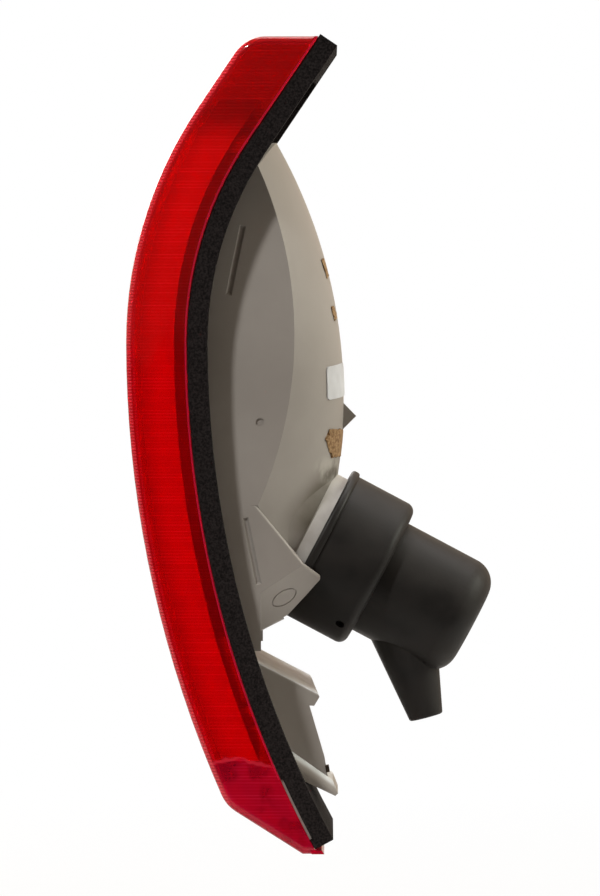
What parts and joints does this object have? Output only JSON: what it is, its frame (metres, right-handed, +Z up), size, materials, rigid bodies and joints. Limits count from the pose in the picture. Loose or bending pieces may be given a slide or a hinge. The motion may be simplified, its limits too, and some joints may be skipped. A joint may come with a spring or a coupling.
{
  "type": "tail light cluster",
  "caption": "Rear lamp with a deep ribbed red lens, foam gasket, domed grey housing, bulb holder under a rubber boot with a cable spout, and a lower bracket.",
  "frame": {"origin": "on the rear face of the foam gasket at mid-width, at the level where that face stands upright", "axes": "+X from the lens to the vehicle, +Y across the lamp to the side away from the picture's camera, +Z up"},
  "size_m": [0.1157, 0.0988, 0.2577],
  "materials": {
    "red_acrylic": "glossy, transparent red",
    "reflex_acrylic": "glossy, prismatic red",
    "bonding_bead": "matte",
    "grey_plastic": "satin moulded grey",
    "black_foam": "matte foam",
    "metallised_plastic": "bright silver",
    "zinc_steel": "zinc plated",
    "clear_glass": "clear",
    "lead_wire": "drawn",
    "tungsten": "dull",
    "brass": "bright",
    "black_glass": "glossy",
    "solder": "soft sheen",
    "black_nylon": "satin",
    "black_rubber": "satin",
    "spring_steel": "dark, oiled",
    "white_paper": "smooth",
    "brown_paper": "torn, fibrous"
  },
  "bodies": {
    "root": {"lens": "red_acrylic", "reflex_reflector": "reflex_acrylic", "lens_seal": "bonding_bead", "housing": "grey_plastic", "gasket": "black_foam", "reflector": "metallised_plastic", "reflector_screws": "zinc_steel", "bulb_glass": "clear_glass", "bulb_stem": "clear_glass", "bulb_wires": "lead_wire", "bulb_filaments": "tungsten", "bulb_cap": "brass", "cap_insulator": "black_glass", "bulb_contacts": "solder", "bulb_sleeve": "zinc_steel", "bulb_holder": "black_nylon", "holder_seal": "black_rubber", "live_contacts": "brass", "earth_contact": "brass", "rubber_boot": "black_rubber", "bracket_clip": "spring_steel", "label": "white_paper", "paper_scraps": "brown_paper"}
  },
  "joints": []
}
